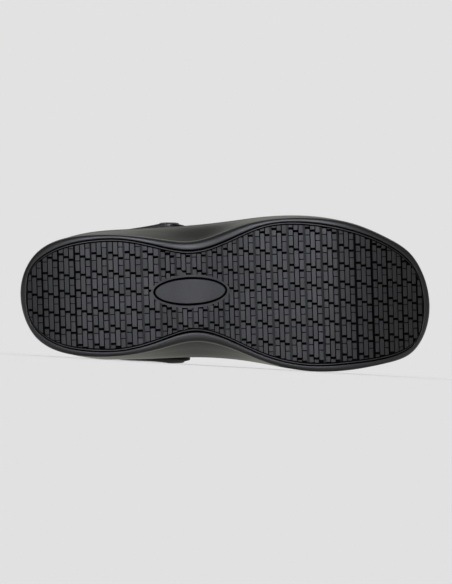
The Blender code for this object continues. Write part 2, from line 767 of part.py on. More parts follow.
sides = Sides()
body_loops = upper_loops(sides)
upper = loft("upper", body_loops, foam)
insole = loft("insole", insole_loops(body_loops[-1], body_loops[-3]), footbed)
outsole = make_outsole(rubber)
strap = make_strap(sides, strap_foam)
pieces = [upper, insole, outsole, strap]
for side_name, side_sign in (("medial", 1), ("lateral", -1)):
    hole = make_rivet_hole(sides, side_name, side_sign)
    cut(upper, hole)
    cut(strap, hole)
    pieces.append(make_rivet(sides, side_name, side_sign, plastic))
    pieces.append(make_rivet_cap(sides, side_name, side_sign, plastic))
rest_on_medial_side(pieces)
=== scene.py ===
# %% [markdown]
# # A slingback work clog, seen on its sole
# The clog is moulded from one piece of black foam: toe, vamp, collar, side walls and the smooth rim round
# the tread. A rubber tread is glued into a recess underneath, an insole lies inside, and a strap swings
# on two rivets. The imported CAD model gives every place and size, so the lesson starts by loading it.

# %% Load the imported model
import json
from collections import namedtuple
from math import cos, pi, radians, sin

import bpy
import numpy as np
from mathutils import Matrix, Vector
from mathutils.geometry import delaunay_2d_cdt


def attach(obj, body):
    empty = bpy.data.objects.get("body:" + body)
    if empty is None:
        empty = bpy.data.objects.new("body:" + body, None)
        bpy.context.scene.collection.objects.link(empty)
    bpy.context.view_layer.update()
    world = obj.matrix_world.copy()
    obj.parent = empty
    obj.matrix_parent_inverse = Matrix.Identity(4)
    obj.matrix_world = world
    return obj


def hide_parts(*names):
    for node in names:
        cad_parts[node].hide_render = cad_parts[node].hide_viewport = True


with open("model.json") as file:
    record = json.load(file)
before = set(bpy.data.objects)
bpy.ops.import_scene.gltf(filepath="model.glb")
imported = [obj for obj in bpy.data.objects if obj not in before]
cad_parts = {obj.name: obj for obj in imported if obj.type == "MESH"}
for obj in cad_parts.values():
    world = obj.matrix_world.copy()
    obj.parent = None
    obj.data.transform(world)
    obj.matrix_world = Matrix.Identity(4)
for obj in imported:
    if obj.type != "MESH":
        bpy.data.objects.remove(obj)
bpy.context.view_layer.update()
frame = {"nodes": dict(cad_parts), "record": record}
MM = 0.001
print("nodes:", sorted(frame["nodes"]))

# %% [markdown]
# The shoe lies on its medial side, which is an awkward pose to model in. Standing it up is easier: x from
# heel to toe, y to the medial side, z up, and the ground at zero. The record's flat face under the ball
# of the foot tells how the sole is turned, and one known point of that face tells where it is.

# %% Stand the shoe up
TREAD_FACE_POINT = Vector((192.423, -1.339, 0.0)) * MM
tread_face = frame["record"]["mounts"][0]
upwards = -Vector(tread_face["axis"]).normalized()
toewards = Vector((upwards.z, 0, -upwards.x)).normalized()
inwards = upwards.cross(toewards)
turn = Matrix((toewards, inwards, upwards)).transposed()
LYING = Matrix.Translation(Vector(tread_face["pos_m"]) - turn @ TREAD_FACE_POINT) @ turn.to_4x4()
STANDING = LYING.inverted()
print("the sole leans", round(90 - np.degrees(np.arccos(-upwards.z)), 2), "degrees")

# %% [markdown]
# ## Finishes
# Everything is black, so the pieces differ by gloss and grain and not by colour. Foam and rubber take over
# the fine orange-peel grain of their mould. It could be drawn again in every material, but a node group is
# built once, and each finish then sets its own scale.

# %% Mould grain
FINE_DETAIL = 2.0
WAVE_SCALE = 60.0
WAVE_DETAIL = 1.0


def new_group(name, inputs, outputs):
    """An empty group with number sockets and the inputs' usual values."""
    group = bpy.data.node_groups.new(name, "ShaderNodeTree")
    for title, value in inputs.items():
        socket = group.interface.new_socket(title, in_out="INPUT", socket_type="NodeSocketFloat")
        socket.default_value = value
    for title in outputs:
        group.interface.new_socket(title, in_out="OUTPUT", socket_type="NodeSocketFloat")
    return group


def add(tree, kind, **settings):
    """Adds a node and sets it up."""
    node = tree.nodes.new("ShaderNode" + kind)
    for name, value in settings.items():
        setattr(node, name, value)
    return node


def noise(tree, source, scale, detail):
    """A noise, with its scale as a number or from a socket."""
    node = add(tree, "TexNoise")
    node.inputs["Detail"].default_value = detail
    tree.links.new(source, node.inputs["Vector"])
    if isinstance(scale, (int, float)):
        node.inputs["Scale"].default_value = scale
    else:
        tree.links.new(scale, node.inputs["Scale"])
    return node.outputs["Fac"]


def calculate(tree, operation, first, second):
    """A calculation with two numbers or sockets."""
    node = add(tree, "Math", operation=operation)
    for socket, value in zip(node.inputs, (first, second)):
        if isinstance(value, (int, float)):
            socket.default_value = value
        else:
            tree.links.new(value, socket)
    return node.outputs[0]


def make_mould_grain():
    """Height of a mould's fine pebbled grain over a slow waviness."""
    group = new_group("mould_grain", {"Scale": 1500.0, "Waviness": 0.5}, ["Height"])
    inside = group.nodes.new("NodeGroupInput")
    outside = group.nodes.new("NodeGroupOutput")
    place = add(group, "TexCoord").outputs["Object"]
    cells = add(group, "TexVoronoi", feature="SMOOTH_F1")
    group.links.new(place, cells.inputs["Vector"])
    group.links.new(inside.outputs["Scale"], cells.inputs["Scale"])
    fine = noise(group, place, inside.outputs["Scale"], FINE_DETAIL)
    pebbles = calculate(group, "ADD", cells.outputs["Distance"], fine)
    waves = noise(group, place, WAVE_SCALE, WAVE_DETAIL)
    slow = calculate(group, "MULTIPLY", waves, inside.outputs["Waviness"])
    group.links.new(calculate(group, "ADD", pebbles, slow), outside.inputs["Height"])
    return group


MOULD_GRAIN = make_mould_grain()
print("shared effect:", MOULD_GRAIN.name)

# %% [markdown]
# A film of pale dust gathers on what is worn and carried about. Painting it would tie it to one piece, so
# two noises are multiplied, one for its broad patches and one for its specks, in a second shared group.

# %% Dust film
PATCH_SCALE = 25.0
PATCH_DETAIL = 4.0
SPECK_SCALE = 700.0
SPECK_DETAIL = 3.0


def make_dust_film():
    """A mask of thin dust: broad patches broken up by fine specks."""
    group = new_group("dust_film", {"Amount": 0.3}, ["Mask"])
    inside = group.nodes.new("NodeGroupInput")
    outside = group.nodes.new("NodeGroupOutput")
    place = add(group, "TexCoord").outputs["Object"]
    patches = noise(group, place, PATCH_SCALE, PATCH_DETAIL)
    specks = noise(group, place, SPECK_SCALE, SPECK_DETAIL)
    film = calculate(group, "MULTIPLY", patches, specks)
    scaled = calculate(group, "MULTIPLY", film, inside.outputs["Amount"])
    group.links.new(scaled, outside.inputs["Mask"])
    return group


DUST_FILM = make_dust_film()
print("shared effect:", DUST_FILM.name)

# %% [markdown]
# A finish then needs one Principled shader. Its colour goes towards dust by the film's mask, its roughness
# varies with the same mask, and the grain drives a small bump.

# %% A finish from the shared effects
Finish = namedtuple("Finish", "colour dust roughness specular grain_scale grain_height")
DUST_COLOUR = (0.30, 0.29, 0.27)
DUST_ROUGHNESS = 0.5
ADDEND = 2


def make_finish(name, finish):
    """A material with its own colour, dust, gloss and grain."""
    material = bpy.data.materials.new(name)
    material.use_nodes = True
    tree = material.node_tree
    shader = tree.nodes["Principled BSDF"]
    shader.inputs["Specular IOR Level"].default_value = finish.specular
    dust = add(tree, "Group", node_tree=DUST_FILM)
    dust.inputs["Amount"].default_value = finish.dust
    colour = add(tree, "Mix", data_type="RGBA")
    colour.inputs["A"].default_value = (*finish.colour, 1.0)
    colour.inputs["B"].default_value = (*DUST_COLOUR, 1.0)
    tree.links.new(dust.outputs["Mask"], colour.inputs["Factor"])
    tree.links.new(colour.outputs["Result"], shader.inputs["Base Color"])
    rough = calculate(tree, "MULTIPLY_ADD", dust.outputs["Mask"], DUST_ROUGHNESS)
    rough.node.inputs[ADDEND].default_value = finish.roughness
    tree.links.new(rough, shader.inputs["Roughness"])
    grain = add(tree, "Group", node_tree=MOULD_GRAIN)
    grain.inputs["Scale"].default_value = finish.grain_scale
    bump = add(tree, "Bump")
    bump.inputs["Strength"].default_value = 1.0
    bump.inputs["Distance"].default_value = finish.grain_height
    tree.links.new(grain.outputs["Height"], bump.inputs["Height"])
    tree.links.new(bump.outputs["Normal"], shader.inputs["Normal"])
    return material


print("a finish has", Finish._fields)


# %% [markdown]
# The foam of the upper has a soft sheen over a dull ground. A lower roughness would brighten it all, so the
# sheen is a thin coat, taken off in the crease above the rim, on the rim and along the widest line of the
# side, which paints shade there. The strap is the same foam, more handled, the rivets are smooth plastic,
# and the insole is a dull open foam.

# %% Finishes of foam, insole and rivets
def add_gloss(material, weight, roughness):
    """A thin gloss over a finish."""
    shader = material.node_tree.nodes["Principled BSDF"]
    shader.inputs["Coat Weight"].default_value = weight
    shader.inputs["Coat Roughness"].default_value = roughness


def vary_gloss(material, mark):
    """Keeps the gloss of a finish only as far as a piece is marked as glossy."""
    tree = material.node_tree
    weight = tree.nodes["Principled BSDF"].inputs["Coat Weight"]
    glossy = add(tree, "Attribute", attribute_name=mark).outputs["Fac"]
    tree.links.new(calculate(tree, "MULTIPLY", glossy, weight.default_value), weight)


foam_finish = make_finish(
    "clog_foam",
    Finish((0.009, 0.0095, 0.0095), 0.06, 0.55, 0.08, 1400.0, 0.00006),
)
add_gloss(foam_finish, weight=0.75, roughness=0.40)
# The foam's gloss follows the painted shade mark that the upper gets below.
vary_gloss(foam_finish, "painted_shade_gloss")
strap_finish = make_finish(
    "clog_strap_foam",
    Finish((0.010, 0.010, 0.011), 0.06, 0.38, 0.25, 1400.0, 0.00005),
)
add_gloss(strap_finish, weight=0.4, roughness=0.38)
insole_finish = make_finish(
    "clog_insole_foam",
    Finish((0.028, 0.028, 0.030), 0.2, 0.85, 0.4, 2200.0, 0.00012),
)
rivet_finish = make_finish(
    "clog_rivet_plastic",
    Finish((0.010, 0.010, 0.011), 0.05, 0.40, 0.4, 900.0, 0.00002),
)
print("finishes:", [m.name for m in (foam_finish, strap_finish, insole_finish, rivet_finish)])

# %% [markdown]
# ## The upper
# The sole isn't flat: its heel is bevelled, its waist arched and its toe sprung. It could be measured point
# by point on the CAD model, but one formula gives this ground line anywhere, and heights in the sole are
# counted from it.

# %% Ground line of the sole
LENGTH = 290.0
HEEL_BEVEL_END = 50.0
HEEL_BEVEL_RISE = 5.5
ARCH_START = 86.0
ARCH_TOP = 121.0
ARCH_END = 163.0
ARCH_RISE = 2.5
SPRING_START = 214.0
SPRING_RISE = 17.0
SPRING_POWER = 1.7


def ground(x):
    """Height of the sole's ground line: heel bevel, arch and toe spring."""
    bevel = np.clip((HEEL_BEVEL_END - x) / HEEL_BEVEL_END, 0, None)
    half = np.where(x < ARCH_TOP, ARCH_TOP - ARCH_START, ARCH_END - ARCH_TOP)
    arch = np.cos(pi / 2 * np.clip((x - ARCH_TOP) / half, -1, 1))
    spring = np.clip((x - SPRING_START) / (LENGTH - SPRING_START), 0, None)
    return HEEL_BEVEL_RISE * bevel**2 + ARCH_RISE * arch**2 + SPRING_RISE * spring**SPRING_POWER


heel_and_toe = ground(np.array([0.0, LENGTH]))
print("the sole rises", heel_and_toe, "mm at heel and toe")

# %% [markdown]
# The upper is moulded from foam in one piece, and its CAD solid already has the shape of the last. The solid
# comes as loose triangles: a copy is welded and its triangles are paired into quads, and then it can be
# subdivided like any hand-made mesh. Operators work on whatever is selected, so every step first says which
# piece it means.

# %% Copy the upper
WELD = 0.00001
PAIR_ANGLE = radians(50)
PAIR_SHAPE = radians(60)


def pick(piece):
    """Selects one piece alone."""
    bpy.ops.object.select_all(action="DESELECT")
    piece.select_set(True)
    bpy.context.view_layer.objects.active = piece


def edit(piece):
    """Opens one piece in edit mode, to work on its faces."""
    pick(piece)
    bpy.ops.object.mode_set(mode="EDIT")
    bpy.ops.mesh.select_mode(type="FACE")


def done():
    """Goes back to object mode."""
    bpy.ops.object.mode_set(mode="OBJECT")


def standing_copy(node, name):
    """A welded copy of a CAD node, stood up, with quads where its triangles pair."""
    data = frame["nodes"][node].data.copy()
    data.name = name
    data.materials.clear()
    data.transform(STANDING)
    piece = bpy.data.objects.new(name, data)
    bpy.context.scene.collection.objects.link(piece)
    edit(piece)
    bpy.ops.mesh.select_all(action="SELECT")
    bpy.ops.mesh.customdata_custom_splitnormals_clear()
    bpy.ops.mesh.remove_doubles(threshold=WELD)
    bpy.ops.mesh.tris_convert_to_quads(face_threshold=PAIR_ANGLE, shape_threshold=PAIR_SHAPE)
    done()
    return piece


upper = standing_copy("upper", "clog_upper")
print("copy of the upper:", len(upper.data.polygons), "faces")

# %% [markdown]
# On the real shoe the mould rounds every edge, some more than others. A bevel would round them all alike, so
# the copy is subdivided instead. Sharp edges first get a partial crease, which keeps the rim and the recess
# crisp while the rest turns smooth.

# %% Crease the sharp edges
UPPER_CREASE = 0.55
UPPER_SHARP_ANGLE = radians(55)


def crease_sharp_edges(piece, angle, weight):
    """Marks edges sharper than an angle, so that subdivision rounds them less."""
    edit(piece)
    bpy.ops.mesh.select_mode(type="EDGE")
    bpy.ops.mesh.select_all(action="DESELECT")
    bpy.ops.mesh.edges_select_sharp(sharpness=angle)
    done()
    sharp = np.zeros(len(piece.data.edges), dtype=bool)
    piece.data.edges.foreach_get("select", sharp)
    crease = piece.data.attributes.new("crease_edge", "FLOAT", "EDGE")
    crease.data.foreach_set("value", sharp * weight)
    return int(sharp.sum())


creased = crease_sharp_edges(upper, UPPER_SHARP_ANGLE, UPPER_CREASE)
print("creased edges:", creased)

# %% [markdown]
# The foam's gloss is taken off in the crease above the rim, on the rim's edge and top, and along the widest
# line of the side, which paints shade there. Loop by loop, from the rim's edge up over the crease, the copy
# is given a value for how much shade is painted there, and the subdivision then blends the values.

# %% Paint shade into the crease and round the upper
ROUNDING_LEVELS = 2
# Heights above the ground line, from and to
RIM_EDGE = (4.5, 4.7)
RIM_TOP = (6.8, 7.2)
CREASE = (7.4, 8.6)
# Painted shade on the rim's edge and top, as gloss taken off
RIM_EDGE_PAINTED_SHADE = 0.65
RIM_TOP_PAINTED_SHADE = 0.9
# Painted shade for the crease, four loops of the cove above it, of which the last is the widest line, and
# three of the side
PAINTED_SHADE_LOOPS = (1.0, 0.55, 0.0, 0.2, 0.75, 0.7, 0.4, 0.15)


def corner_array(piece):
    """The places of a piece's corners, a row for each."""
    flat = np.zeros(len(piece.data.vertices) * 3)
    piece.data.vertices.foreach_get("co", flat)
    return flat.reshape(-1, 3)


def painted_shade_loops(piece):
    """How much shade is painted on each corner of the upper, as gloss taken off, counted in loops from the
    crease.
    """
    x, _, z = corner_array(piece).T / MM
    height = z - ground(x)
    dull = np.zeros(len(x))
    dull[(height > RIM_EDGE[0]) & (height < RIM_EDGE[1])] = RIM_EDGE_PAINTED_SHADE
    dull[(height > RIM_TOP[0]) & (height < RIM_TOP[1])] = RIM_TOP_PAINTED_SHADE
    edges = np.zeros(len(piece.data.edges) * 2, dtype=np.int32)
    piece.data.edges.foreach_get("vertices", edges)
    first, second = edges.reshape(-1, 2).T
    ring = (height > CREASE[0]) & (height < CREASE[1])
    passed = height < CREASE[1]
    for value in PAINTED_SHADE_LOOPS:
        dull[ring] = value
        passed |= ring
        reached = np.zeros(len(x), dtype=bool)
        reached[second[ring[first]]] = True
        reached[first[ring[second]]] = True
        ring = reached & ~passed
    return dull


def subdivide(piece, levels):
    """Rounds a piece with a subdivision surface and applies it."""
    pick(piece)
    modifier = piece.modifiers.new("rounding", "SUBSURF")
    modifier.levels = levels
    modifier.render_levels = levels
    bpy.ops.object.modifier_apply(modifier=modifier.name)
    bpy.ops.object.shade_smooth()


# Painted shade: the foam keeps less gloss in the crease, on the rim and along the widest line of the side.
painted_shade_gloss = upper.data.attributes.new("painted_shade_gloss", "FLOAT", "POINT")
painted_shade_gloss.data.foreach_set("value", 1 - painted_shade_loops(upper))
subdivide(upper, ROUNDING_LEVELS)
print("upper:", len(upper.data.polygons), "faces")

# %% [markdown]
# The recess under the upper gets a far darker, duller black than the rest of the foam, which is painted
# shade. Its walls face inwards and its roof lies a little above the ground line, which is enough to find
# their faces and give them that finish.

# %% Paint shade into the recess
RECESS_TOP = 6.2
RECESS_WALL_START = 1.9
RECESS_ROOF_START = 4.5
FLAT_SHARE = 0.5
TREAD_CENTRE_X = 145.0


def face_array(piece, name):
    """The centres or normals of a piece's faces, a row for each."""
    flat = np.zeros(len(piece.data.polygons) * 3)
    piece.data.polygons.foreach_get(name, flat)
    return flat.reshape(-1, 3)


def in_recess(piece):
    """Which faces of the upper are the walls and the roof of the recess."""
    x, y, z = face_array(piece, "center").T / MM
    normal_x, normal_y, normal_z = face_array(piece, "normal").T
    height = z - ground(x)
    wall = (normal_x * (x - TREAD_CENTRE_X) + normal_y * y < 0) & (height > RECESS_WALL_START)
    roof = (normal_z < -FLAT_SHARE) & (height > RECESS_ROOF_START)
    return (wall | roof) & (height < RECESS_TOP)


def hand_over(piece, material, slot, *nodes):
    """Lays a finished piece down with the shoe, in place of its CAD nodes."""
    piece.data.transform(LYING)
    piece.data.materials.clear()
    piece.data.materials.append(material)
    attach(piece, "root")
    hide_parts(*nodes)
    print(piece.name, len(piece.data.polygons), "faces")


recess = in_recess(upper)
# Painted shade: the walls and roof of the recess get a far darker colour and less gloss than the rest of the
# foam.
painted_shade_recess_finish = make_finish(
    "clog_recess_foam_painted_shade",
    Finish((0.0020, 0.0020, 0.0022), 0.01, 0.90, 0.06, 1400.0, 0.00006),
)
print("faces in the recess:", int(recess.sum()))
hand_over(upper, foam_finish, "moulded_foam", "upper")
upper.data.materials.append(painted_shade_recess_finish)
upper.data.polygons.foreach_set("material_index", recess.astype(np.int32))

# %% [markdown]
# The insole, the strap and the rivets are moulded too, with rounded edges, and the same steps finish them:
# copy, crease and subdivide. The insole is soft all round, so its edges get no crease.

# %% Round the insole, the strap and the rivets
SMALL_SHARP_ANGLE = radians(40)
SmallPiece = namedtuple("SmallPiece", "node finish slot crease")
SMALL_PIECES = (
    SmallPiece("insole", insole_finish, "insole_foam", 0.0),
    SmallPiece("heel_strap", strap_finish, "strap_foam", 0.6),
    SmallPiece("rivet_medial", rivet_finish, "rivet_plastic", 0.6),
    SmallPiece("rivet_lateral", rivet_finish, "rivet_plastic", 0.6),
    SmallPiece("rivet_cap_medial", rivet_finish, "rivet_plastic", 0.6),
    SmallPiece("rivet_cap_lateral", rivet_finish, "rivet_plastic", 0.6),
)
for small in SMALL_PIECES:
    piece = standing_copy(small.node, "clog_" + small.node)
    crease_sharp_edges(piece, SMALL_SHARP_ANGLE, small.crease)
    subdivide(piece, ROUNDING_LEVELS)
    hand_over(piece, small.finish, small.slot, small.node)

# %% [markdown]
# ## The tread
# The rubber tread is a thin plate with a lip round its edge. Inside the lip, columns of small ribs stand
# in groups of three, and each group is cut across by gaps that step sideways from column to column. The
# plan is drawn flat first: the outlines of the plate, the oval and every rib cut the plane into faces.
# Then the faces are raised to their heights with extrude, and last the flat plate is bent to the sole.

# %% Sizes of the tread
PLATE_TOP = 5.5
GROOVE_FLOOR = 2.5
LIP_HEIGHT = 0.4
PLATE_GAP = 0.7
LIP_WIDTH = 0.6
FIELD_MARGIN = 0.95
END_SHARE = 0.2
TREAD_TURN = radians(1.9)
ROW_PITCH = 12.7
ROW_START = -30.0
ROWS = range(-3, 8)
GAP = 1.6
GAP_STEP = 2.05
SIPE = 0.5
SIPE_PLACE = 4.95
RIB_LINE = 0.55
RIB_LINE_DEPTH = 1.0
RIBS_IN_GROUP = 3
UNCUT_RIB = 1
FIRST_GROUP_EDGE = -138.4
GroupZone = namedtuple("GroupZone", "groups pitch channel")
GROUP_ZONES = (
    GroupZone(6, 11.47, 1.2),
    GroupZone(2, 12.5, 1.7),
    GroupZone(5, 10.89, 1.4),
    GroupZone(8, 11.64, 1.7),
    GroupZone(4, 10.55, 1.2),
)
SMALLEST_BLOCK = 1.0
SMALLEST_STEP = 0.06
OVAL_X = 120.2
OVAL_ACROSS = -1.3
OVAL_LENGTH = 48.4
OVAL_WIDTH = 16.8
OVAL_GROOVE = 1.6
OVAL_RIM = 1.64
OVAL_POINTS = 72
print("groups of ribs:", sum(zone.groups for zone in GROUP_ZONES))

# %% [markdown]
# The plate's outline is read from the CAD tread: its top edge is the ring of points that lies a plate's
# thickness above the ground line. A closed cubic curve through them gives a finer outline.

# %% Outline of the plate
OUTLINE_POINTS = 260
RING_TOLERANCE = 0.01


def refined(ring, count):
    """Even points on a smooth closed curve through a ring of points."""
    chords = np.linalg.norm(np.roll(ring, -1, axis=0) - ring, axis=1)
    run = np.concatenate([[0.0], np.cumsum(chords)])
    places = np.linspace(0, run[-1], count, endpoint=False)
    piece = np.searchsorted(run, places, side="right") - 1
    t = ((places - run[piece]) / chords[piece])[:, None]
    a, b, c, d = (ring[(piece + k) % len(ring)] for k in (-1, 0, 1, 2))
    bend = (2 * a - 5 * b + 4 * c - d) * t**2 + (3 * b - a - 3 * c + d) * t**3
    return b + ((c - a) * t + bend) / 2


def plate_outline():
    """The top edge of the CAD tread, in order round the shoe."""
    corners = np.array([STANDING @ v.co for v in frame["nodes"]["outsole"].data.vertices]) / MM
    height = corners[:, 2] - ground(corners[:, 0])
    top = corners[np.abs(height - PLATE_TOP) < RING_TOLERANCE, :2]
    top = np.unique(top.round(3), axis=0)
    middle = np.array([TREAD_CENTRE_X, 0.0])
    angles = np.arctan2(*(top - middle).T[::-1])
    return refined(top[np.argsort(angles)], OUTLINE_POINTS)


def inset(outline, distance):
    """An outline drawn in by a distance, or by one for each of its places."""
    along = np.roll(outline, -1, axis=0) - np.roll(outline, 1, axis=0)
    across = np.stack([along[:, 1], -along[:, 0]], axis=1)
    return outline - across / np.linalg.norm(across, axis=1)[:, None] * distance


def sideways(outline):
    """How much each place of an outline faces to a side of the shoe, and not to its heel or toe."""
    along = np.roll(outline, -1, axis=0) - np.roll(outline, 1, axis=0)
    return (np.abs(along[:, 0]) / np.linalg.norm(along, axis=1))[:, None]


plate = inset(plate_outline(), PLATE_GAP)
end_share = END_SHARE + (1 - END_SHARE) * sideways(plate) ** 2
lip_edge = inset(plate, LIP_WIDTH * end_share)
field = inset(lip_edge, FIELD_MARGIN * end_share)
print("plate outline:", len(plate), "points,", np.ptp(plate, axis=0).round(1), "mm")


# %% [markdown]
# Ribs and gaps lie in a grid that is turned a little against the shoe. A rib that meets the edge of the
# field is cut off there, the way the mould cuts it. Boolean cuts of solid ribs could do that, but clipping
# the field's outline to each rib is quicker and leaves no ragged edges.

# %% Blocks of the grid, cut off at the field's edge
def tread_point(along, across):
    """A place of the turned grid in the shoe's own x and y."""
    x = TREAD_CENTRE_X + along * cos(TREAD_TURN) + across * sin(TREAD_TURN)
    y = across * cos(TREAD_TURN) - along * sin(TREAD_TURN)
    return np.array([x, y])


def block(along_low, along_high, across_low, across_high):
    """The four corners of a block of the grid."""
    corners = (
        (along_low, across_low),
        (along_high, across_low),
        (along_high, across_high),
        (along_low, across_high),
    )
    return np.array([tread_point(*corner) for corner in corners])


def clipped(outline, corners):
    """The part of an outline inside a convex block, both running the same way round."""
    kept = [(point, False) for point in outline]
    for start, end in zip(corners, np.roll(corners, -1, axis=0)):
        edge = end - start
        inner = [edge[0] * (p[1] - start[1]) - edge[1] * (p[0] - start[0]) for p, _ in kept]
        result = []
        for i, (point, cut) in enumerate(kept):
            if (inner[i] >= 0) != (inner[i - 1] >= 0):
                share = inner[i - 1] / (inner[i - 1] - inner[i])
                last = kept[i - 1][0]
                result.append((last + (point - last) * share, True))
            if inner[i] >= 0:
                result.append((point, cut))
        kept = result
    return without_slivers(kept)


def without_slivers(kept):
    """Drops one of two corners that all but coincide, and keeps the one on the side of the block."""
    points = np.array([point for point, _ in kept]).reshape(-1, 2)
    cut = np.array([is_cut for _, is_cut in kept], dtype=bool)
    close = np.linalg.norm(points - np.roll(points, 1, axis=0), axis=1) < SMALLEST_STEP
    later = close & ~(cut & ~np.roll(cut, 1))
    earlier = np.roll(close, -1) & ~cut & np.roll(cut, -1)
    return points[~(later | earlier)]


def area(outline):
    """The area inside an outline."""
    x, y = outline.T
    return abs(np.dot(x, np.roll(y, -1)) - np.dot(y, np.roll(x, -1))) / 2


print("field of ribs:", round(area(field)), "of", round(area(plate)), "square mm")


# %% [markdown]
# A group has three columns of ribs. Each rib stands on a web that joins it to the next column, so the lines
# between columns are shallow and the gaps between rows are deep. A fine sipe cuts the outer ribs of a group
# in two. The oval pad lies over the grid, with a deep ring round it and a rim that the ribs run into.

# %% Plan of ribs and oval
def oval(grow):
    """The outline of the oval pad, grown by a distance."""
    turns = np.arange(OVAL_POINTS) * 2 * pi / OVAL_POINTS
    start = OVAL_X - TREAD_CENTRE_X
    length = OVAL_LENGTH / 2 + grow
    width = OVAL_WIDTH / 2 + grow
    return np.array([tread_point(start + length * cos(a), OVAL_ACROSS + width * sin(a)) for a in turns])


def rib_blocks():
    """Each rib's web, as wide as its column, the rib or half ribs on it, and the channel after a group."""
    edge = FIRST_GROUP_EDGE
    for zone in GROUP_ZONES:
        column = (zone.pitch - zone.channel + RIB_LINE) / RIBS_IN_GROUP
        for _ in range(zone.groups):
            yield "channel", block(edge + zone.pitch - zone.channel, edge + zone.pitch, -LENGTH, LENGTH)
            for rib in range(RIBS_IN_GROUP):
                low = edge + rib * column
                high = low + column - RIB_LINE
                web_end = high if rib == RIBS_IN_GROUP - 1 else low + column
                for row in ROWS:
                    start = ROW_START + ROW_PITCH * row + GAP_STEP * rib + GAP / 2
                    end = start + ROW_PITCH - GAP
                    yield "web", block(low, web_end, start, end)
                    if rib == UNCUT_RIB:
                        yield "rib", block(low, high, start, end)
                    else:
                        cut = start - GAP / 2 + SIPE_PLACE
                        yield "rib", block(low, high, start, cut - SIPE / 2)
                        yield "rib", block(low, high, cut + SIPE / 2, end)
            edge += zone.pitch


def tread_regions():
    """Every outline of the plan, with the name of its part."""
    regions = [
        ("plate", plate),
        ("inside_lip", lip_edge),
        ("oval_field", oval(OVAL_GROOVE + OVAL_RIM)),
        ("oval_rim", oval(OVAL_GROOVE)),
        ("oval_pad", oval(0.0)),
    ]
    for name, corners in rib_blocks():
        kept = clipped(field, corners)
        if len(kept) > 2 and area(kept) > SMALLEST_BLOCK:
            regions.append((name, kept))
    return regions


regions = tread_regions()
print("regions of the tread:", len(regions))

# %% [markdown]
# Blender's own Delaunay function cuts the plane along all these outlines at once. That is a clean flat
# mesh: no overlaps, and shared corners everywhere. The middle of each triangle then tells which outlines
# it lies in, and so what part of the tread it is.

# %% Flat plan of the tread
PLAN_TOLERANCE = 0.02
RIB_SHADE_SEED = 7
PLAIN_SHADE = 0.5
FLOOR, CHANNEL, LIP, WEB, RIB, OVAL_FLAT = range(6)


def covered(outline, points):
    """Which points lie inside an outline, by counting the edges on one side of them."""
    x, y = points.T
    inside = np.zeros(len(points), dtype=bool)
    for (x0, y0), (x1, y1) in zip(outline, np.roll(outline, -1, axis=0)):
        if y0 != y1:
            inside ^= ((y0 > y) != (y1 > y)) & (x < x0 + (y - y0) * (x1 - x0) / (y1 - y0))
    return inside


def plan_levels(middles):
    """The part of the tread at each place, and a shade for each rib."""
    shades = np.random.default_rng(RIB_SHADE_SEED).uniform(0, 1, len(regions))
    shade = np.full(len(middles), PLAIN_SHADE)
    within = {name: np.zeros(len(middles), dtype=bool) for name, _ in regions}
    for (name, outline), tone in zip(regions, shades):
        inside = covered(outline, middles)
        within[name] |= inside
        if name == "rib":
            shade[inside] = tone
    level = np.full(len(middles), FLOOR)
    for name, part in (("channel", CHANNEL), ("web", WEB), ("rib", RIB), ("oval_field", OVAL_FLAT)):
        level[within[name]] = part
    level[within["oval_rim"] & ~within["oval_pad"]] = FLOOR
    level[~within["inside_lip"]] = LIP
    return level, shade


def make_plan():
    """The flat tread, with the part and the shade of each face as attributes."""
    points, loops = [], []
    for _, outline in regions:
        loops.append(list(range(len(points), len(points) + len(outline))))
        points += [Vector(point) for point in outline]
    inside_only = 1
    plan, _, triangles, _, _, _ = delaunay_2d_cdt(points, [], loops, inside_only, PLAN_TOLERANCE)
    plan = np.array(plan)
    level, shade = plan_levels(plan[np.array(triangles)].mean(axis=1))
    data = bpy.data.meshes.new("clog_tread")
    corners = np.column_stack([plan, np.full(len(plan), GROOVE_FLOOR)]) * MM
    data.from_pydata(corners, [], [tuple(reversed(t)) for t in triangles])
    data.attributes.new("level", "INT", "FACE").data.foreach_set("value", level)
    data.attributes.new("rib_shade", "FLOAT", "FACE").data.foreach_set("value", shade)
    piece = bpy.data.objects.new("clog_tread", data)
    bpy.context.scene.collection.objects.link(piece)
    return piece


tread = make_plan()
print("plan:", len(tread.data.polygons), "triangles")

# %% [markdown]
# Raising is done level by level: select all that stands at least so high, extrude it towards the ground,
# and carry on from the faces that extrude leaves selected. A last small inset with a depth breaks the
# edges of ribs and oval, which is what catches the light on real rubber.

# %% Raise lip, webs, ribs and oval
RIB_CHAMFER = 0.16


def select_faces(piece, chosen):
    """Selects some faces of a piece and nothing else."""
    piece.data.vertices.foreach_set("select", np.zeros(len(piece.data.vertices), dtype=bool))
    piece.data.edges.foreach_set("select", np.zeros(len(piece.data.edges), dtype=bool))
    piece.data.polygons.foreach_set("select", chosen)


def select_levels(piece, wanted, among_selected=False):
    """Selects parts of the tread, all of their faces or only those that are selected already."""
    count = len(piece.data.polygons)
    level = np.zeros(count, dtype=np.int32)
    piece.data.attributes["level"].data.foreach_get("value", level)
    chosen = np.isin(level, wanted)
    if among_selected:
        selected = np.zeros(count, dtype=bool)
        piece.data.polygons.foreach_get("select", selected)
        chosen &= selected
    select_faces(piece, chosen)


def raise_selected(piece, height):
    """Extrudes what is selected towards the ground."""
    edit(piece)
    bpy.ops.mesh.extrude_region_move(TRANSFORM_OT_translate={"value": (0, 0, -height * MM)})
    done()


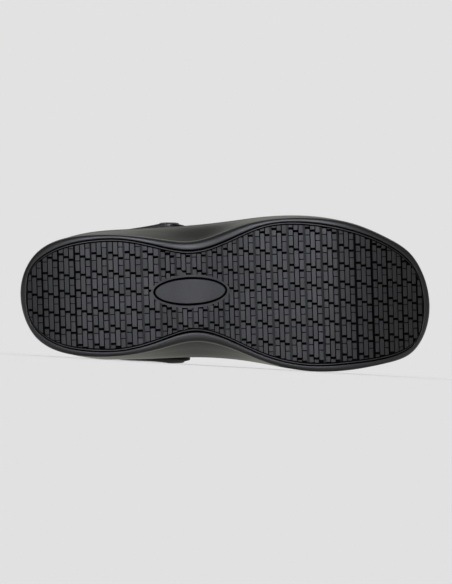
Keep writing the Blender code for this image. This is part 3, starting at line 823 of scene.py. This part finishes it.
select_levels(tread, [LIP])
raise_selected(tread, GROOVE_FLOOR - LIP_HEIGHT)
select_levels(tread, [WEB, RIB, OVAL_FLAT])
raise_selected(tread, GROOVE_FLOOR - RIB_LINE_DEPTH)
select_levels(tread, [RIB, OVAL_FLAT], among_selected=True)
raise_selected(tread, RIB_LINE_DEPTH - RIB_CHAMFER)
edit(tread)
bpy.ops.mesh.inset(thickness=RIB_CHAMFER * MM, depth=RIB_CHAMFER * MM)
done()
print("raised tread:", len(tread.data.polygons), "faces")

# %% [markdown]
# The back of the plate is glued into the recess and never shows, but a closed piece is a sound one. The open
# edge is drawn up and filled, and the back is bisected into strips that can bend with the sole.

# %% Close the back of the tread
BACK_HEIGHT = 4.9
BACK_STRIP = 8.0
BACK_TOLERANCE = 0.1


def close_back(piece, height):
    """Draws the plate's open edge up and fills it."""
    edit(piece)
    bpy.ops.mesh.select_mode(type="EDGE")
    bpy.ops.mesh.select_all(action="DESELECT")
    bpy.ops.mesh.select_non_manifold(extend=False, use_wire=False, use_multi_face=False, use_verts=False)
    bpy.ops.mesh.extrude_edges_move(TRANSFORM_OT_translate={"value": (0, 0, height * MM)})
    bpy.ops.mesh.fill()
    bpy.ops.mesh.select_all(action="SELECT")
    bpy.ops.mesh.normals_make_consistent(inside=False)
    done()


def cut_back(piece, height):
    """Cuts the flat back across the shoe, so that it bends with the sole."""
    for x in np.arange(BACK_STRIP, LENGTH, BACK_STRIP):
        select_faces(piece, face_array(piece, "center")[:, 2] > (height - BACK_TOLERANCE) * MM)
        edit(piece)
        bpy.ops.mesh.bisect(plane_co=(x * MM, 0, 0), plane_no=(1, 0, 0))
        done()


close_back(tread, BACK_HEIGHT - GROOVE_FLOOR)
cut_back(tread, BACK_HEIGHT)
print("closed tread:", len(tread.data.polygons), "faces")

# %% [markdown]
# While the plate is still flat, its tops and grooves are told apart by their depth. The floors of the
# channels between the groups get a gloss under the waist and the ball of the foot, a painted sheen that
# lights them grey there, and a mark on each face says how much. A curve modifier could bend the plate, but
# moving each corner by the ground line's formula keeps the ribs square to it and exactly as high.

# %% Mark the painted sheen and bend the tread
TOPS_END = 0.45
PAINTED_SHEEN_PLACES = (40.0, 75.0, 200.0, 240.0)
PAINTED_SHEEN_SHARES = (0.0, 1.0, 1.0, 0.0)
SLOPE_STEP = 0.5
SMOOTH_ANGLE = radians(25)


def grooves_and_painted_sheen(piece):
    """Which faces of the flat tread lie in grooves, and how much painted sheen each gets."""
    level = np.zeros(len(piece.data.polygons), dtype=np.int32)
    piece.data.attributes["level"].data.foreach_get("value", level)
    x, _, height = face_array(piece, "center").T / MM
    flat = np.abs(face_array(piece, "normal")[:, 2]) > FLAT_SHARE
    groove = height > TOPS_END
    painted_sheen = np.interp(x, PAINTED_SHEEN_PLACES, PAINTED_SHEEN_SHARES) * (groove & flat & (level == CHANNEL))
    return groove, painted_sheen


def bent(corners):
    """Flat corners laid on the ground line, with their heights square to it."""
    x = corners[:, 0] / MM
    slope = (ground(x + SLOPE_STEP) - ground(x - SLOPE_STEP)) / (2 * SLOPE_STEP)
    height = corners[:, 2] / np.hypot(1, slope)
    return np.column_stack([corners[:, 0] - slope * height, corners[:, 1], ground(x) * MM + height])


# Painted sheen: gloss on the channel floors, strongest under the waist and the ball of the foot.
groove, painted_sheen = grooves_and_painted_sheen(tread)
tread.data.attributes.new("painted_sheen", "FLOAT", "FACE").data.foreach_set("value", painted_sheen)
tread.data.vertices.foreach_set("co", bent(corner_array(tread)).ravel())
pick(tread)
bpy.ops.object.shade_smooth_by_angle(angle=SMOOTH_ANGLE)
print("faces in grooves:", int(groove.sum()), "worn:", int((painted_sheen > 0).sum()))

# %% [markdown]
# Rubber is polished where it rubs, and a gloss of its own sets each rib off from its neighbours. The grooves
# get a far darker, dull colour, which is painted shade, and only the channel floors get some gloss, a
# painted sheen.

# %% Rubber tops, and grooves with painted shade
RIB_SHADE_RANGE = (0.36, 0.46)


def vary_roughness(material):
    """Lets each rib have its own gloss."""
    tree = material.node_tree
    shader = tree.nodes["Principled BSDF"]
    shade = add(tree, "MapRange")
    shade.inputs["To Min"].default_value = RIB_SHADE_RANGE[0]
    shade.inputs["To Max"].default_value = RIB_SHADE_RANGE[1]
    mark = add(tree, "Attribute", attribute_name="rib_shade").outputs["Fac"]
    tree.links.new(mark, shade.inputs["Value"])
    clean_roughness = shader.inputs["Roughness"].links[0].from_node.inputs[ADDEND]
    tree.links.new(shade.outputs["Result"], clean_roughness)


rubber_finish = make_finish(
    "clog_tread_rubber",
    Finish((0.0100, 0.0102, 0.0115), 0.06, 0.42, 0.35, 1800.0, 0.00007),
)
vary_roughness(rubber_finish)
# Painted shade: the grooves get a far darker colour and less gloss than the tops of the ribs.
painted_shade_groove_finish = make_finish(
    "clog_groove_rubber_painted_shade",
    Finish((0.0020, 0.0020, 0.0022), 0.01, 0.90, 0.06, 1800.0, 0.00007),
)
# The channel floors' gloss is the painted sheen marked on the tread.
add_gloss(painted_shade_groove_finish, weight=0.5, roughness=0.50)
vary_gloss(painted_shade_groove_finish, "painted_sheen")
hand_over(tread, rubber_finish, "tread_rubber", "outsole")
tread.data.materials.append(painted_shade_groove_finish)
tread.data.polygons.foreach_set("material_index", groove.astype(np.int32))

# %% [markdown]
# ## Floor, light and camera
# The clog lies on a sheet of white paper, large enough to run out of the picture on every side. The paper
# has no gloss at all, because seen this flat it would mirror the dim part of the room along the horizon.

# %% Floor
FLOOR_SIZE = 16.0
FLOOR_TONE = 0.99


def make_floor():
    """A large plain sheet of paper."""
    bpy.ops.object.select_all(action="DESELECT")
    bpy.ops.mesh.primitive_plane_add(size=FLOOR_SIZE, location=(0, 0, 0))
    floor = bpy.context.object
    floor.name = "studio_floor"
    paper = bpy.data.materials.new("studio_paper")
    paper.use_nodes = True
    shader = paper.node_tree.nodes["Principled BSDF"]
    shader.inputs["Base Color"].default_value = (FLOOR_TONE, FLOOR_TONE, FLOOR_TONE, 1.0)
    shader.inputs["Roughness"].default_value = 1.0
    shader.inputs["Specular IOR Level"].default_value = 0.0
    floor.data.materials.append(paper)
    return floor


floor = make_floor()
print("floor:", FLOOR_SIZE, "m")

# %% [markdown]
# Black foam and rubber show little but what they mirror, so gloss gets lights of its own, which only shiny
# surfaces see. A softbox with a narrow beam before the sole lights the tops of the ribs and leaves the gaps
# black. One behind and one above give the sheen on the lateral flank, and two small light tables on the
# floor do the same for the medial flank and the strap.

# %% Lights
Light = namedtuple("Light", "name place target width height spread power colour")
COOL = (0.87, 0.89, 1.0)
WARM = (1.0, 1.0, 0.92)
LIGHTS = (
    Light("front_softbox", (0.05, -2.0, 0.40), (0.04, 0.0, 0.06), 0.85, 0.7, 16, 1.15, COOL),
    Light("rear_softbox", (0.0, 0.55, 0.75), (0.0, 0.0, 0.06), 1.2, 0.4, 180, 2.4, WARM),
    Light("top_softbox", (-0.02, 0.14, 0.9), (-0.02, 0.0, 0.06), 0.3, 0.2, 180, 0.6, WARM),
    Light("light_table", (-0.05, -0.025, 0.0003), (-0.05, -0.025, 1.0), 0.18, 0.03, 180, 0.020, WARM),
    Light("strap_table", (-0.06, 0.010, 0.0003), (-0.06, 0.010, 1.0), 0.08, 0.016, 180, 0.0024, WARM),
)


def make_light(light):
    """A soft light that only shiny surfaces see."""
    data = bpy.data.lights.new(light.name, "AREA")
    data.shape = "RECTANGLE"
    data.size = light.width
    data.size_y = light.height
    data.spread = radians(light.spread)
    data.energy = light.power
    data.color = light.colour
    lamp = bpy.data.objects.new(light.name, data)
    lamp.location = light.place
    lamp.visible_camera = False
    lamp.visible_diffuse = False
    lamp.rotation_euler = (Vector(light.target) - lamp.location).to_track_quat("-Z", "Y").to_euler()
    bpy.context.scene.collection.objects.link(lamp)
    return lamp


lamps = [make_light(light) for light in LIGHTS]
print("lights:", [lamp.name for lamp in lamps])

# %% [markdown]
# The room lights the paper evenly from all around. Shiny pieces would mirror so pale a room and turn grey,
# so for their rays alone it is dim, and a little brighter behind the shoe than before it.

# %% Room
ROOM = 0.76
# What shiny pieces mirror of the room: little before the shoe, more behind it
MIRRORED_BEFORE = 0.05
MIRRORED_BEHIND = 0.30
MIRROR_TURN_START = -0.4
MIRROR_TURN_END = 0.8


def make_room():
    """An evenly pale room, of which shiny pieces mirror only a dim part."""
    room = bpy.data.worlds.new("studio")
    room.use_nodes = True
    tree = room.node_tree
    axes = add(tree, "SeparateXYZ")
    tree.links.new(add(tree, "TexCoord").outputs["Generated"], axes.inputs["Vector"])
    mirrored = add(tree, "MapRange")
    for title, value in (
        ("From Min", MIRROR_TURN_START),
        ("From Max", MIRROR_TURN_END),
        ("To Min", MIRRORED_BEFORE),
        ("To Max", MIRRORED_BEHIND),
    ):
        mirrored.inputs[title].default_value = value
    tree.links.new(axes.outputs["Y"], mirrored.inputs["Value"])
    seen = add(tree, "Mix")
    tree.links.new(add(tree, "LightPath").outputs["Is Glossy Ray"], seen.inputs["Factor"])
    seen.inputs["A"].default_value = ROOM
    tree.links.new(mirrored.outputs["Result"], seen.inputs["B"])
    background = tree.nodes["Background"]
    background.inputs["Color"].default_value = (1.0, 1.0, 1.0, 1.0)
    tree.links.new(seen.outputs["Result"], background.inputs["Strength"])
    return room


bpy.context.scene.world = make_room()
bpy.context.scene.view_settings.view_transform = "Standard"
print("room:", ROOM, "mirrored as", MIRRORED_BEFORE, "to", MIRRORED_BEHIND)

# %% [markdown]
# The picture is 584 pixels high and shows 0.695 mm of the sole to a pixel. A camera straight before the
# sole would stand below the floor, because the sole leans forward a little, so it stops just above it.

# %% Camera
PICTURE_HEIGHT = 584
MM_PER_PIXEL = 0.695
SENSOR_WIDTH = 36.0
NEAREST = 0.001
FARTHEST = 50.0
CAMERA_DISTANCE = 1.2
CAMERA_HEIGHT = 0.0015
VIEW_CENTRE = Vector((TREAD_CENTRE_X, 0.0, 0.0)) * MM


def make_camera():
    """A camera square to the sole, as far as the floor lets it."""
    data = bpy.data.cameras.new("sole_camera")
    data.sensor_width = SENSOR_WIDTH
    data.lens = SENSOR_WIDTH * CAMERA_DISTANCE / (PICTURE_HEIGHT * MM_PER_PIXEL * MM)
    data.clip_start = NEAREST
    data.clip_end = FARTHEST
    target = LYING @ VIEW_CENTRE
    place = target - upwards * CAMERA_DISTANCE
    place.z = CAMERA_HEIGHT
    back = (place - target).normalized()
    right = (toewards - back * toewards.dot(back)).normalized()
    up = back.cross(right)
    camera = bpy.data.objects.new("sole_camera", data)
    axes = Matrix((right, up, back)).transposed()
    camera.matrix_world = Matrix.Translation(target + back * CAMERA_DISTANCE) @ axes.to_4x4()
    bpy.context.scene.collection.objects.link(camera)
    bpy.context.scene.camera = camera
    return camera


camera = make_camera()
print("camera at", [round(v, 3) for v in camera.location])
